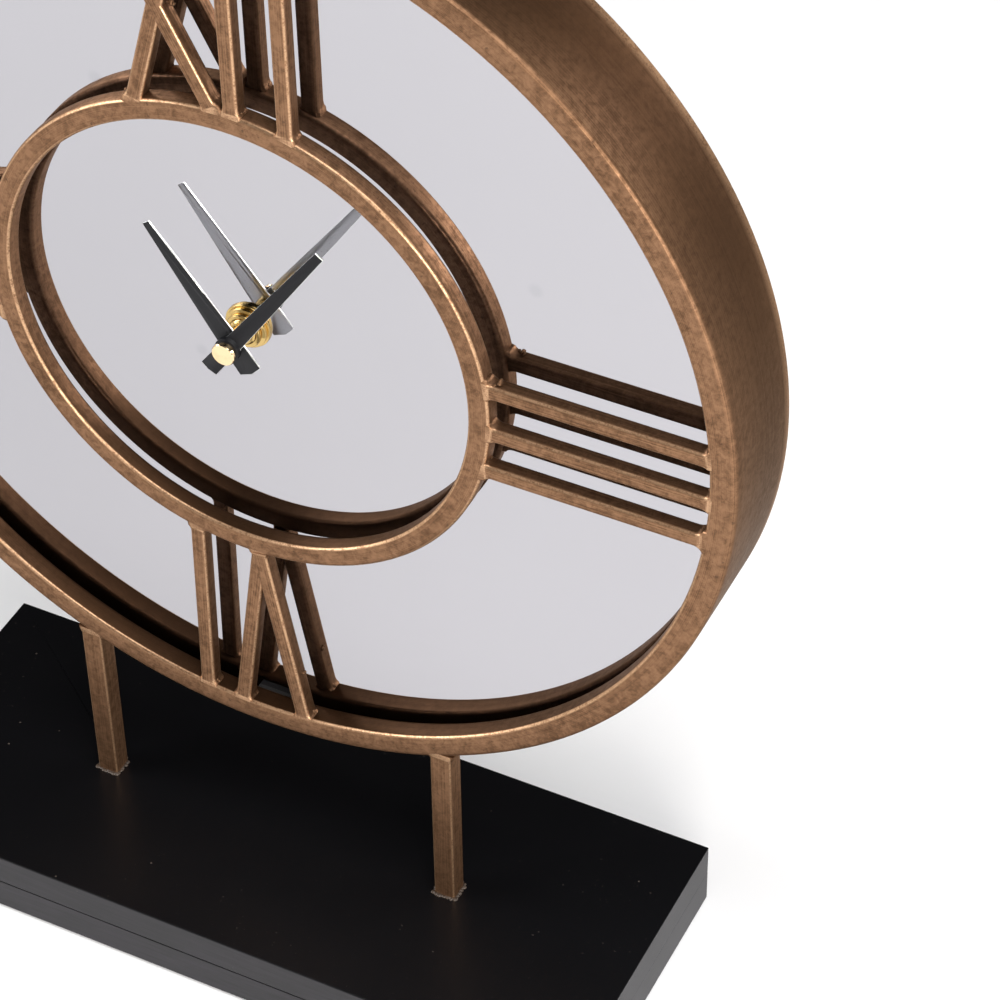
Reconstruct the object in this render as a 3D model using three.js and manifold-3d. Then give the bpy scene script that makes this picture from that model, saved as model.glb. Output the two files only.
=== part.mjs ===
// Mantel clock: a drum of bent bar and sheet, standing on two square legs on a
// laminated base, with a recessed mirror and a quartz movement.
// Millimetres. +X right, +Y to the back, +Z up. Origin: bottom centre of the base.
import * as THREE from "three";
import { mergeVertices } from "three/addons/utils/BufferGeometryUtils.js";
import Module from "manifold-3d";

const wasm = await Module();
wasm.setup();

// Base and legs
const BASE_LENGTH = 250;
const BASE_DEPTH = 100;
const BOARD = 11.5;
const PAD_HEIGHT = 1;
const PAD_RADIUS = 8;
const PAD_X = 112;
const PAD_Y = 37;
const BASE_TOP = PAD_HEIGHT + 2 * BOARD;
const LEG = 7;
const LEG_X = 60;
const SCREW_RADIUS = 2;
const SCREW_HEAD_RADIUS = 4;
const SCREW_HEAD_HEIGHT = 2.4;
const SCREW_LENGTH = 36;

// Drum and grille, about the dial centre
const DIAL_HEIGHT = 223;
const BAR_DEPTH = 7;
const FRONT = -BAR_DEPTH / 2;
const BACK = BAR_DEPTH / 2;
const INNER_RING_BACK = FRONT + 6;
const NUMERAL_BACK = FRONT + 5;
const DRUM_DEPTH = 35;
const DRUM_BACK = FRONT + DRUM_DEPTH;
const BAND_OUTER = 150;
const BAND_INNER = 149;
const OUTER_RING = [142, 148.9];
const INNER_RING = [71.8, 78.2];
const NUMERAL_BAR = 4.8;
const WELD_GAP = 0.3;
const RING_SIDES = 96;

// Bars of each numeral: centre line from the inner to the outer ring, as [x, z] pairs
const TWELVE_ONES = [[[4.6, 78], [4.6, 142]], [[20.5, 75], [20.5, 140]]];
const TWELVE_X = [[[-1.6, 78], [-33.6, 142]], [[-23.9, 78], [-5.7, 142]]];
const THREE_ONES = [[[78, 11.1], [142, 11.1]], [[78, -3.7], [142, -3.7]], [[78, -17.5], [142, -17.5]]];
const SIX_ONE = [[-17.6, -76], [-19, -141]];
const SIX_V = [[[2.7, -78], [13.8, -142]], [[2.7, -78], [-6.9, -142]]];
const NINE_ONE = [[-77, -16], [-141, -17.5]];
const NINE_X = [[[-78, -1], [-140, 26]], [[-75, 21.5], [-142, 1]]];

// Mirror and what holds it
const MIRROR_GAP = 2;
const MIRROR_RADIUS = 147.5;
const MIRROR_HOLE = 4.3;
const MIRROR_FRONT = BACK + MIRROR_GAP;
const GLASS = 3;
const BACKING = 3;
const BACKING_FRONT = MIRROR_FRONT + GLASS;
const BACKING_BACK = BACKING_FRONT + BACKING;
const SPACER_ANGLES = [35, 145, 270];
const CLIP_ANGLES = [90, 210, 330];

// Movement: case, bush and fixings
const CASE = 56;
const CASE_WALL = 1.5;
const RUBBER = 0.8;
const CASE_FRONT = BACKING_BACK + RUBBER;
const COVER_FRONT = CASE_FRONT + 13.5;
const COVER_BACK = CASE_FRONT + 16;
const BAY_TOP = -11;
const BUSH_FRONT = 1.2;
const BUSH_RADIUS = 4;
const BUSH_BORE = 2.7;
const PIVOT_HOLE = 0.5;
const PIVOT = 0.42;

// Hands, as half outlines of [distance from the centre, half width]
const HOUR_ANGLE = 125.2;
const HOUR_OUTLINE = [[-10.2, 0], [-9.3, 4], [0, 3.75], [17, 2.75], [42, 1.2]];
const HOUR_HAND = [-4.2, -3.6];
const HOUR_SLEEVE = 2.6;
const HOUR_BORE = 1.7;
const MINUTE_ANGLE = 54.3;
const MINUTE_OUTLINE = [[-12.6, 0], [-12.1, 2.7], [0, 2.6], [51.7, 1.4]];
const MINUTE_HAND = [-5.6, -5];
const MINUTE_HUB = [3.75, 1.4];
const MINUTE_ARBOR = 1.6;
const MINUTE_TIP = 1.3;
const CAP_FRONT = -9.2;

// Gear train: tooth counts, distances between centres and the directions they lie in
const CANNON_TEETH = 12;
const MOTION_TEETH = 36;
const MOTION_PINION_TEETH = 10;
const HOUR_TEETH = 40;
const MOTION_AT = [9.4, 15];
const INTERMEDIATE_AT = [9, 90];
const THIRD_AT = [8.6, 165];
const ROTOR_AT = [9, 60];
const ROTOR_TEETH = 12;
const INTERMEDIATE_TEETH = 60;
const INTERMEDIATE_PINION_TEETH = 10;
const SECOND_TEETH = 60;
const SECOND_PINION_TEETH = 8;
const THIRD_TEETH = 64;
const THIRD_PINION_TEETH = 8;
const CENTRE_TEETH = 60;
const HOUR_WHEEL_Y = [14.2, 15.4];
const MOTION_WHEEL_Y = [16, 17.2];
const CENTRE_WHEEL_Y = [18.2, 19.2];
const THIRD_WHEEL_Y = [20.2, 21];
const SECOND_WHEEL_Y = [22, 22.8];
const INTERMEDIATE_WHEEL_Y = [23.6, 24.4];

const CELL_RADIUS = 7;
const CELL_Z = -18.75;
const CELL_Y = CASE_FRONT + CASE_WALL + CELL_RADIUS + 0.2;

const model = new THREE.Group();

function finish(colour, roughness, metalness) {
  return () => new THREE.MeshStandardMaterial({ color: colour, roughness, metalness });
}

const bronze = finish(0x8a6748, 0.42, 1);
const blackLacquer = finish(0x131315, 0.35, 0);
const silverGlass = finish(0xcfced4, 0.04, 1);
const fibreboard = finish(0x7a5b3c, 0.85, 0);
const felt = finish(0x1c1c1e, 0.95, 0);
const steel = finish(0x9a9c9f, 0.35, 1);
const brass = finish(0xc39a4e, 0.25, 1);
const rubber = finish(0x1a1a1a, 0.9, 0);
const blackPlastic = finish(0x17181a, 0.5, 0);
const whitePlastic = finish(0xe6e4dc, 0.5, 0);
const handBlack = finish(0x0e0e10, 0.45, 0.2);
const copper = finish(0xb4643a, 0.35, 1);
const board = finish(0x2c5d3a, 0.6, 0);
const wrapper = finish(0x2f6b4f, 0.4, 0);

function addMesh(name, geometry, material) {
  const mesh = new THREE.Mesh(geometry, material());
  mesh.name = name;
  model.add(mesh);
}

function addAtDial(name, geometry, material) {
  geometry.translate(0, 0, DIAL_HEIGHT);
  addMesh(name, geometry, material);
}

function solid(geometry) {
  const bare = geometry.index ? geometry : mergeVertices(geometry);
  bare.deleteAttribute("normal");
  bare.deleteAttribute("uv");
  const merged = mergeVertices(bare);
  const vertProperties = new Float32Array(merged.attributes.position.array);
  const triVerts = new Uint32Array(merged.index.array);
  return new wasm.Manifold(new wasm.Mesh({ numProp: 3, vertProperties, triVerts }));
}

function toGeometry(manifold) {
  const mesh = manifold.getMesh();
  const geometry = new THREE.BufferGeometry();
  geometry.setAttribute("position", new THREE.BufferAttribute(mesh.vertProperties, 3));
  geometry.setIndex(new THREE.BufferAttribute(mesh.triVerts, 1));
  return geometry;
}

function join(first, ...others) {
  return toGeometry(others.reduce((body, other) => body.add(solid(other)), solid(first)));
}

function cut(first, ...others) {
  return toGeometry(others.reduce((body, other) => body.subtract(solid(other)), solid(first)));
}

function polar(radius, degrees) {
  const angle = THREE.MathUtils.degToRad(degrees);
  return [radius * Math.cos(angle), radius * Math.sin(angle)];
}

function circle(radius, sides, phase = 0) {
  const points = [];
  for (let i = 0; i < sides; i += 1) {
    points.push(polar(radius, phase + (360 * i) / sides));
  }
  return points;
}

// A flat piece whose outline lies in the dial plane, from y = front to y = back
function plate(points, front, back, holes = []) {
  const shape = new THREE.Shape(points.map(([x, z]) => new THREE.Vector2(x, z)));
  holes.forEach((hole) => shape.holes.push(new THREE.Path(hole.map(([x, z]) => new THREE.Vector2(x, z)))));
  const geometry = new THREE.ExtrudeGeometry(shape, { depth: back - front, bevelEnabled: false });
  geometry.rotateX(Math.PI / 2);
  geometry.translate(0, back, 0);
  return geometry;
}

function ring(outer, inner, front, back, sides) {
  return plate(circle(outer, sides), front, back, [circle(inner, sides)]);
}

// A round rod along Y
function rod(radius, front, back, [x, z] = [0, 0], sides = 24) {
  return plate(circle(radius, sides).map(([u, v]) => [x + u, z + v]), front, back);
}

function box([x0, x1], [y0, y1], [z0, z1]) {
  const geometry = new THREE.BoxGeometry(x1 - x0, y1 - y0, z1 - z0);
  geometry.translate((x0 + x1) / 2, (y0 + y1) / 2, (z0 + z1) / 2);
  return geometry;
}

// A turned piece about the Y axis from a profile of [radius, y], front to back
function turned(profile, sides) {
  const geometry = new THREE.LatheGeometry(profile.map(([r, y]) => new THREE.Vector2(r, y)), sides);
  return geometry;
}

// Gears: straight-sided teeth with backlash
const TOOTH = { tip: 0.75, root: 1.05, tipWidth: 0.1, rootWidth: 0.29 };

function gearOutline(teeth, module, phase, [x, z] = [0, 0]) {
  const pitch = (module * teeth) / 2;
  const step = 360 / teeth;
  const points = [];
  for (let i = 0; i < teeth; i += 1) {
    const middle = phase + i * step;
    points.push(polar(pitch - TOOTH.root * module, middle - TOOTH.rootWidth * step));
    points.push(polar(pitch + TOOTH.tip * module, middle - TOOTH.tipWidth * step));
    points.push(polar(pitch + TOOTH.tip * module, middle + TOOTH.tipWidth * step));
    points.push(polar(pitch - TOOTH.root * module, middle + TOOTH.rootWidth * step));
  }
  return points.map(([u, v]) => [x + u, z + v]);
}

function meshModule(distance, teethA, teethB) {
  return (2 * distance) / (teethA + teethB);
}

// Phase of gear B so that a gap of it faces a tooth of gear A, which lies in direction + 180
function meshPhase(direction, teethA, phaseA, teethB) {
  const stepA = 360 / teethA;
  const stepB = 360 / teethB;
  const fraction = (direction - phaseA) / stepA;
  return direction + 180 - stepB * (0.5 - fraction);
}

// Straight bar between the rings; its ends stop short of them by the weld gap
function barOutline([[x0, z0], [x1, z1]], width = NUMERAL_BAR) {
  const length = Math.hypot(x1 - x0, z1 - z0);
  const along = [(x1 - x0) / length, (z1 - z0) / length];
  const across = [-along[1], along[0]];
  const reach = (side, radius) => {
    const start = [x0 + across[0] * side, z0 + across[1] * side];
    const b = start[0] * along[0] + start[1] * along[1];
    const c = start[0] ** 2 + start[1] ** 2 - radius ** 2;
    const t = -b + Math.sqrt(b * b - c);
    return [start[0] + along[0] * t, start[1] + along[1] * t];
  };
  const inner = INNER_RING[1] + WELD_GAP;
  const outer = OUTER_RING[0] * Math.cos(Math.PI / RING_SIDES) - WELD_GAP;
  const half = width / 2;
  return [reach(-half, inner), reach(-half, outer), reach(half, outer), reach(half, inner)];
}

// Keep the part of an outline on one side of a bar (side is 1 or -1)
function clipByBar(points, [[x0, z0], [x1, z1]], side) {
  const length = Math.hypot(x1 - x0, z1 - z0);
  const normal = [(-side * (z1 - z0)) / length, (side * (x1 - x0)) / length];
  const limit = NUMERAL_BAR / 2 + WELD_GAP;
  const height = ([x, z]) => (x - x0) * normal[0] + (z - z0) * normal[1] - limit;
  const kept = [];
  points.forEach((point, i) => {
    const next = points[(i + 1) % points.length];
    const a = height(point);
    const b = height(next);
    if (a >= 0) {
      kept.push(point);
    }
    if (a * b < 0) {
      const t = a / (a - b);
      kept.push([point[0] + t * (next[0] - point[0]), point[1] + t * (next[1] - point[1])]);
    }
  });
  return kept;
}

function addBar(name, outline) {
  addAtDial(name, plate(outline, FRONT, NUMERAL_BACK), bronze);
}

function addCross(numeral, [through, crossing]) {
  addBar(`${numeral}_cross_through_bar`, barOutline(through));
  addBar(`${numeral}_cross_half_bar_a`, clipByBar(barOutline(crossing), through, 1));
  addBar(`${numeral}_cross_half_bar_b`, clipByBar(barOutline(crossing), through, -1));
}

function addBase() {
  const holeX = [-LEG_X, LEG_X];
  const drill = (z0, z1) => holeX.map((x) => {
    const hole = new THREE.CylinderGeometry(SCREW_RADIUS + 0.1, SCREW_RADIUS + 0.1, z1 - z0, 16);
    hole.rotateX(Math.PI / 2);
    hole.translate(x, 0, (z0 + z1) / 2);
    return hole;
  });
  const sink = holeX.map((x) => {
    const cone = new THREE.CylinderGeometry(SCREW_RADIUS + 0.1, SCREW_HEAD_RADIUS + 0.4, 3, 16);
    cone.rotateX(Math.PI / 2);
    cone.translate(x, 0, PAD_HEIGHT + 1.4);
    return cone;
  });
  const spanX = [-BASE_LENGTH / 2, BASE_LENGTH / 2];
  const spanY = [-BASE_DEPTH / 2, BASE_DEPTH / 2];
  const middle = PAD_HEIGHT + BOARD;
  const upper = box(spanX, spanY, [middle, BASE_TOP]);
  const lower = box(spanX, spanY, [PAD_HEIGHT, middle]);
  addMesh("base_top_board", cut(upper, ...drill(middle - 1, BASE_TOP + 1)), blackLacquer);
  addMesh("base_bottom_board", cut(lower, ...drill(0, middle + 1), ...sink), blackLacquer);
  let count = 0;
  [-PAD_X, PAD_X].forEach((x) => [-PAD_Y, PAD_Y].forEach((y) => {
    const pad = new THREE.CylinderGeometry(PAD_RADIUS, PAD_RADIUS, PAD_HEIGHT, 16);
    pad.rotateX(Math.PI / 2);
    pad.translate(x, y, PAD_HEIGHT / 2);
    count += 1;
    addMesh(`felt_pad_${count}`, pad, felt);
  }));
}

function addLeg(name, x) {
  const top = (edge) => -Math.sqrt((BAND_OUTER + WELD_GAP) ** 2 - edge ** 2) + DIAL_HEIGHT;
  const left = x - LEG / 2;
  const right = x + LEG / 2;
  const outline = [[left, BASE_TOP], [right, BASE_TOP], [right, top(right)], [left, top(left)]];
  const depth = SCREW_LENGTH - (BASE_TOP - PAD_HEIGHT) + 1;
  const hole = new THREE.CylinderGeometry(SCREW_RADIUS + 0.05, SCREW_RADIUS + 0.05, 2 * depth, 16);
  hole.rotateX(Math.PI / 2);
  hole.translate(x, 0, BASE_TOP);
  addMesh(name, cut(plate(outline, -LEG / 2, LEG / 2), hole), bronze);
}

function addLegScrew(name, x) {
  const start = PAD_HEIGHT + 0.2;
  const profile = [
    [0, 0], [SCREW_HEAD_RADIUS, 0], [SCREW_RADIUS, SCREW_HEAD_HEIGHT],
    [SCREW_RADIUS, SCREW_LENGTH - 1.5], [SCREW_RADIUS - 0.8, SCREW_LENGTH], [0, SCREW_LENGTH],
  ];
  const screw = turned(profile, 16);
  screw.rotateX(Math.PI / 2);
  screw.translate(x, 0, start);
  addMesh(name, screw, steel);
}

function addDrum() {
  addAtDial("drum_band", ring(BAND_OUTER, BAND_INNER, FRONT, DRUM_BACK, RING_SIDES), bronze);
  addAtDial("outer_ring", ring(OUTER_RING[1], OUTER_RING[0], FRONT, BACK, RING_SIDES), bronze);
  addAtDial("inner_ring", ring(INNER_RING[1], INNER_RING[0], FRONT, INNER_RING_BACK, RING_SIDES), bronze);
}

function addNumerals() {
  addCross("xii", TWELVE_X);
  TWELVE_ONES.forEach((line, i) => addBar(`xii_bar_${i + 1}`, barOutline(line)));
  THREE_ONES.forEach((line, i) => addBar(`iii_bar_${i + 1}`, barOutline(line)));
  addBar("vi_bar", barOutline(SIX_ONE));
  addBar("vi_v_long_bar", barOutline(SIX_V[0]));
  addBar("vi_v_short_bar", clipByBar(barOutline(SIX_V[1]), SIX_V[0], -1));
  addBar("ix_bar", barOutline(NINE_ONE));
  addCross("ix", NINE_X);
}

function addMirror() {
  const disc = circle(MIRROR_RADIUS, RING_SIDES);
  const hole = [circle(MIRROR_HOLE, 24)];
  addAtDial("mirror", plate(disc, MIRROR_FRONT, BACKING_FRONT, hole), silverGlass);
  addAtDial("backing_board", plate(disc, BACKING_FRONT, BACKING_BACK, hole), fibreboard);
  SPACER_ANGLES.forEach((angle, i) => {
    const spot = [[143.6, -6], [147, -6], [147, 6], [143.6, 6]].map(([r, t]) => {
      const [ux, uz] = polar(1, angle);
      return [ux * r - uz * t, uz * r + ux * t];
    });
    addAtDial(`mirror_spacer_${i + 1}`, plate(spot, BACK, MIRROR_FRONT), rubber);
  });
  CLIP_ANGLES.forEach((angle, i) => {
    const tab = box([138, 148.4], [BACKING_BACK, BACKING_BACK + 1.4], [-8, 8]);
    const flange = box([147.2, 148.6], [BACKING_BACK, BACKING_BACK + 13], [-8, 8]);
    const clip = join(tab, flange);
    clip.rotateY(THREE.MathUtils.degToRad(-angle));
    addAtDial(`retaining_clip_${i + 1}`, clip, steel);
  });
}

const motionCentre = polar(...MOTION_AT);
const intermediateCentre = polar(...INTERMEDIATE_AT);
const thirdCentre = polar(...THIRD_AT);
const rotorCentre = polar(...ROTOR_AT).map((value, i) => value + intermediateCentre[i]);

function addCase() {
  const half = CASE / 2;
  const inside = half - CASE_WALL;
  const floor = CASE_FRONT + CASE_WALL;
  const shell = box([-half, half], [CASE_FRONT, COVER_FRONT], [-half, half]);
  const trainSpace = box([-inside, inside], [floor, COVER_FRONT + 1], [BAY_TOP + CASE_WALL, inside]);
  const cellSpace = box([-inside, inside], [floor, COVER_FRONT + 1], [-inside, BAY_TOP]);
  const bushHole = rod(BUSH_RADIUS + 0.05, CASE_FRONT - 1, floor + 1);
  const hollow = cut(shell, trainSpace, cellSpace, bushHole);
  const posts = join(hollow, rod(0.9, floor - 0.5, 21, intermediateCentre, 12), rod(1.3, floor - 0.5, 17.4, rotorCentre, 12));
  const pivots = [
    rod(PIVOT_HOLE, CASE_FRONT - 1, floor + 1, motionCentre, 12),
    rod(PIVOT_HOLE, CASE_FRONT - 1, floor + 1, thirdCentre, 12),
    rod(PIVOT_HOLE, 19.8, 22, intermediateCentre, 12),
    rod(PIVOT_HOLE, 16.2, 18, rotorCentre, 12),
  ];
  addAtDial("movement_case", cut(posts, ...pivots), blackPlastic);
  const cover = box([-half, half], [COVER_FRONT, COVER_BACK], [-half, half]);
  const bayMouth = box([-inside, inside], [COVER_FRONT - 1, COVER_BACK + 1], [-inside, BAY_TOP]);
  const bearings = [[0, 0], thirdCentre, intermediateCentre, rotorCentre].map((at) => (
    rod(PIVOT_HOLE, COVER_FRONT - 1, COVER_FRONT + 1.2, at, 12)
  ));
  const knobHole = rod(0.9, COVER_FRONT - 1, COVER_BACK + 1, motionCentre, 12);
  addAtDial("movement_cover", cut(cover, bayMouth, ...bearings, knobHole), blackPlastic);
}

function addBushAndNut() {
  addAtDial("threaded_bush", ring(BUSH_RADIUS, BUSH_BORE, BUSH_FRONT, CASE_FRONT + CASE_WALL, 24), brass);
  addAtDial("rubber_washer", ring(9, BUSH_RADIUS + 0.1, BACKING_BACK, CASE_FRONT, 24), rubber);
  const washerFront = MIRROR_FRONT - 0.8;
  addAtDial("brass_washer", ring(7, BUSH_RADIUS + 0.1, washerFront, MIRROR_FRONT, 32), brass);
  const bore = BUSH_RADIUS + 0.05;
  const nut = [
    [bore, washerFront], [bore, washerFront - 2.7], [5.4, washerFront - 2.7], [5.4, washerFront - 1.7],
    [6.4, washerFront - 1.4], [6.4, washerFront], [bore, washerFront],
  ];
  addAtDial("round_nut", turned(nut, 24), brass);
}

function handOutline(half, degrees) {
  const mirrored = half.filter(([, w]) => w > 0).reverse().map(([d, w]) => [d, -w]);
  const [ux, uz] = polar(1, degrees);
  return [...half, ...mirrored].map(([d, w]) => [ux * d - uz * w, uz * d + ux * w]);
}

function addHands() {
  const hourHole = [circle(2.32, 24)];
  addAtDial("hour_hand", plate(handOutline(HOUR_OUTLINE, HOUR_ANGLE), ...HOUR_HAND, hourHole), handBlack);
  const minute = plate(handOutline(MINUTE_OUTLINE, MINUTE_ANGLE), ...MINUTE_HAND);
  const hub = rod(MINUTE_HUB[0], MINUTE_HAND[0] - MINUTE_HUB[1], MINUTE_HAND[0] + 0.2);
  const hole = rod(MINUTE_TIP + 0.02, MINUTE_HAND[0] - 3, MINUTE_HAND[1] + 1);
  addAtDial("minute_hand", cut(join(minute, hub), hole), handBlack);
  const capBack = MINUTE_HAND[0] - MINUTE_HUB[1];
  const cap = [
    [0, CAP_FRONT], [3.2, CAP_FRONT], [3.5, CAP_FRONT + 0.3], [3.5, CAP_FRONT + 1.1], [2.8, CAP_FRONT + 1.3],
    [2.8, capBack], [MINUTE_TIP + 0.02, capBack], [MINUTE_TIP + 0.02, capBack - 1.2], [0, capBack - 1.2],
  ];
  addAtDial("cap_nut", turned(cap, 24), brass);
}

const motionModule = meshModule(MOTION_AT[0], CANNON_TEETH, MOTION_TEETH);
const hourModule = meshModule(MOTION_AT[0], MOTION_PINION_TEETH, HOUR_TEETH);
const rotorModule = meshModule(ROTOR_AT[0], ROTOR_TEETH, INTERMEDIATE_TEETH);
const secondModule = meshModule(INTERMEDIATE_AT[0], INTERMEDIATE_PINION_TEETH, SECOND_TEETH);
const thirdModule = meshModule(THIRD_AT[0], SECOND_PINION_TEETH, THIRD_TEETH);
const centreModule = meshModule(THIRD_AT[0], THIRD_PINION_TEETH, CENTRE_TEETH);

function addMotionWork() {
  const sleeve = rod(HOUR_SLEEVE, HOUR_HAND[1], HOUR_WHEEL_Y[1]);
  const sleeveTip = rod(2.3, HOUR_HAND[0], HOUR_HAND[1] + 1);
  const hourGear = plate(gearOutline(HOUR_TEETH, hourModule, 0), ...HOUR_WHEEL_Y);
  const hourBore = rod(HOUR_BORE, HOUR_HAND[0] - 1, HOUR_WHEEL_Y[1] + 1);
  addAtDial("hour_wheel", cut(join(sleeve, sleeveTip, hourGear), hourBore), brass);

  const arbor = rod(MINUTE_ARBOR, MINUTE_HAND[1], 19.9);
  const tip = rod(MINUTE_TIP, MINUTE_HAND[0] - MINUTE_HUB[1] - 1, MINUTE_HAND[1] + 1);
  const cannon = plate(gearOutline(CANNON_TEETH, motionModule, 0), MOTION_WHEEL_Y[0] - 0.2, MOTION_WHEEL_Y[1] + 0.2);
  const secondBearing = rod(0.6, 17.9, 21, [0, 0], 12);
  addAtDial("minute_arbor", cut(join(arbor, tip, cannon), secondBearing), brass);

  const wheelPhase = meshPhase(MOTION_AT[1], CANNON_TEETH, 0, MOTION_TEETH);
  const pinionPhase = meshPhase(MOTION_AT[1], HOUR_TEETH, 0, MOTION_PINION_TEETH);
  const wheel = plate(gearOutline(MOTION_TEETH, motionModule, wheelPhase, motionCentre), ...MOTION_WHEEL_Y);
  const pinionEnd = MOTION_WHEEL_Y[0] + 0.2;
  const pinion = plate(gearOutline(MOTION_PINION_TEETH, hourModule, pinionPhase, motionCentre), 14, pinionEnd);
  const pivot = rod(PIVOT, CASE_FRONT + 0.3, 15, motionCentre, 12);
  const shaft = rod(0.8, 15, COVER_BACK + 0.4, motionCentre, 12);
  const stub = rod(0.6, COVER_BACK, COVER_BACK + 2, motionCentre, 12);
  addAtDial("motion_work_wheel", join(wheel, pinion, pivot, shaft, stub), whitePlastic);

  const rim = [];
  for (let i = 0; i < 20; i += 1) {
    const [u, v] = polar(i % 2 ? 5 : 5.5, 18 * i);
    rim.push([motionCentre[0] + u, motionCentre[1] + v]);
  }
  const knob = plate(rim, COVER_BACK + 0.4, COVER_BACK + 2.9);
  const socket = rod(0.62, COVER_BACK, COVER_BACK + 2.1, motionCentre, 12);
  addAtDial("setting_knob", cut(knob, socket), whitePlastic);
}

function addTrain() {
  const coverPivot = COVER_FRONT + 0.9;
  const secondArbor = rod(0.5, 18.4, SECOND_WHEEL_Y[1] + 0.4, [0, 0], 12);
  const secondPivot = rod(PIVOT, SECOND_WHEEL_Y[1], coverPivot, [0, 0], 12);
  const secondGear = plate(gearOutline(SECOND_TEETH, secondModule, 0), ...SECOND_WHEEL_Y);
  const secondPinion = plate(gearOutline(SECOND_PINION_TEETH, thirdModule, 0), THIRD_WHEEL_Y[0] - 0.1, SECOND_WHEEL_Y[0] + 0.2);
  addAtDial("second_wheel", join(secondArbor, secondPivot, secondGear, secondPinion), whitePlastic);

  const thirdPhase = meshPhase(THIRD_AT[1], SECOND_PINION_TEETH, 0, THIRD_TEETH);
  const thirdGear = plate(gearOutline(THIRD_TEETH, thirdModule, thirdPhase, thirdCentre), ...THIRD_WHEEL_Y);
  const thirdPinionPhase = meshPhase(THIRD_AT[1], CENTRE_TEETH, 0, THIRD_PINION_TEETH);
  const thirdPinion = plate(
    gearOutline(THIRD_PINION_TEETH, centreModule, thirdPinionPhase, thirdCentre),
    CENTRE_WHEEL_Y[0] - 0.1,
    THIRD_WHEEL_Y[0] + 0.2,
  );
  const thirdArbor = rod(PIVOT, CASE_FRONT + 0.3, coverPivot, thirdCentre, 12);
  addAtDial("third_wheel", join(thirdArbor, thirdGear, thirdPinion), whitePlastic);

  const centreGear = plate(gearOutline(CENTRE_TEETH, centreModule, 0), ...CENTRE_WHEEL_Y);
  const centreHub = rod(2.5, CENTRE_WHEEL_Y[0] - 0.4, CENTRE_WHEEL_Y[1] + 0.2);
  const centreBore = rod(HOUR_BORE, CENTRE_WHEEL_Y[0] - 1, CENTRE_WHEEL_Y[1] + 1);
  addAtDial("centre_wheel", cut(join(centreGear, centreHub), centreBore), brass);

  const wheelPhase = 0;
  const wheel = plate(gearOutline(INTERMEDIATE_TEETH, rotorModule, wheelPhase, intermediateCentre), ...INTERMEDIATE_WHEEL_Y);
  const pinionPhase = meshPhase(INTERMEDIATE_AT[1], SECOND_TEETH, 0, INTERMEDIATE_PINION_TEETH);
  const pinion = plate(
    gearOutline(INTERMEDIATE_PINION_TEETH, secondModule, pinionPhase, intermediateCentre),
    SECOND_WHEEL_Y[0] - 0.1,
    INTERMEDIATE_WHEEL_Y[0] + 0.2,
  );
  const arbor = rod(PIVOT, 20, coverPivot, intermediateCentre, 12);
  addAtDial("intermediate_wheel", join(arbor, wheel, pinion), whitePlastic);

  const rotorPhase = meshPhase(ROTOR_AT[1], INTERMEDIATE_TEETH, wheelPhase, ROTOR_TEETH);
  const rotorPinion = plate(gearOutline(ROTOR_TEETH, rotorModule, rotorPhase, rotorCentre), 21, 24.6);
  const magnet = rod(2.4, 18.4, 21.2, rotorCentre);
  const rotorArbor = rod(PIVOT, 16.4, coverPivot, rotorCentre, 12);
  addAtDial("rotor", join(rotorArbor, magnet, rotorPinion), whitePlastic);
}

function addDrive() {
  const plane = [19.2, 20.2];
  const [rx, rz] = rotorCentre;
  const outline = [
    [-17, 20.2], [-17, 14.2], [-10, 12.2], [rx + 5, 12.2], [rx + 7, 14.2], [rx + 7, 20.2],
    [rx + 12, 20.2], [rx + 12, 26], [rx + 8, 26], [rx + 8, 24], [-16, 24], [-16, 26], [-20, 26], [-20, 20.2],
  ];
  const window = [[-14, 18], [-14, 19.6], [rx - 4.5, 19.6], [rx - 4.5, 18]];
  const laminate = plate(outline, ...plane, [window]);
  const rotorHole = rod(3.1, plane[0] - 1, plane[1] + 1, rotorCentre);
  const coilSlot = box([-13.4, rx + 5.4], [18, 22], [20.4, 27]);
  addAtDial("stator", cut(laminate, rotorHole, coilSlot), steel);
  const coil = new THREE.CylinderGeometry(2.7, 2.7, 16, 16);
  coil.rotateZ(Math.PI / 2);
  coil.translate((-13.4 + rx + 5.4) / 2, 19.7, 23.4);
  addAtDial("coil", coil, copper);
  addAtDial("circuit_board", box([18, 26.2], [21.5, 22.5], [-6, 18]), board);
  const cell = [[0, -24.6], [6.6, -24.6], [CELL_RADIUS, -24.2], [CELL_RADIUS, 24], [2.6, 24.4], [2.6, 25.4], [0, 25.4]];
  const battery = turned(cell, 24);
  battery.rotateZ(-Math.PI / 2);
  battery.translate(0, CELL_Y, CELL_Z);
  addAtDial("battery", battery, wrapper);
  addAtDial("positive_contact", box([25.7, 26.2], [15.5, 25], [-25, -13]), steel);
  const strip = box([-26.2, -25.7], [15.5, 25], [-25, -13]);
  const bump = new THREE.CylinderGeometry(2, 2, 1, 12);
  bump.rotateZ(Math.PI / 2);
  bump.translate(-25.4, CELL_Y, CELL_Z);
  addAtDial("negative_contact", join(strip, bump), steel);
}

addBase();
addLeg("leg_left", -LEG_X);
addLeg("leg_right", LEG_X);
addLegScrew("leg_screw_left", -LEG_X);
addLegScrew("leg_screw_right", LEG_X);
addDrum();
addNumerals();
addMirror();
addCase();
addBushAndNut();
addMotionWork();
addTrain();
addDrive();
addHands();

export default model;
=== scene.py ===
import math
import random

import bmesh
import bpy
from mathutils import Matrix, Vector


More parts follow.
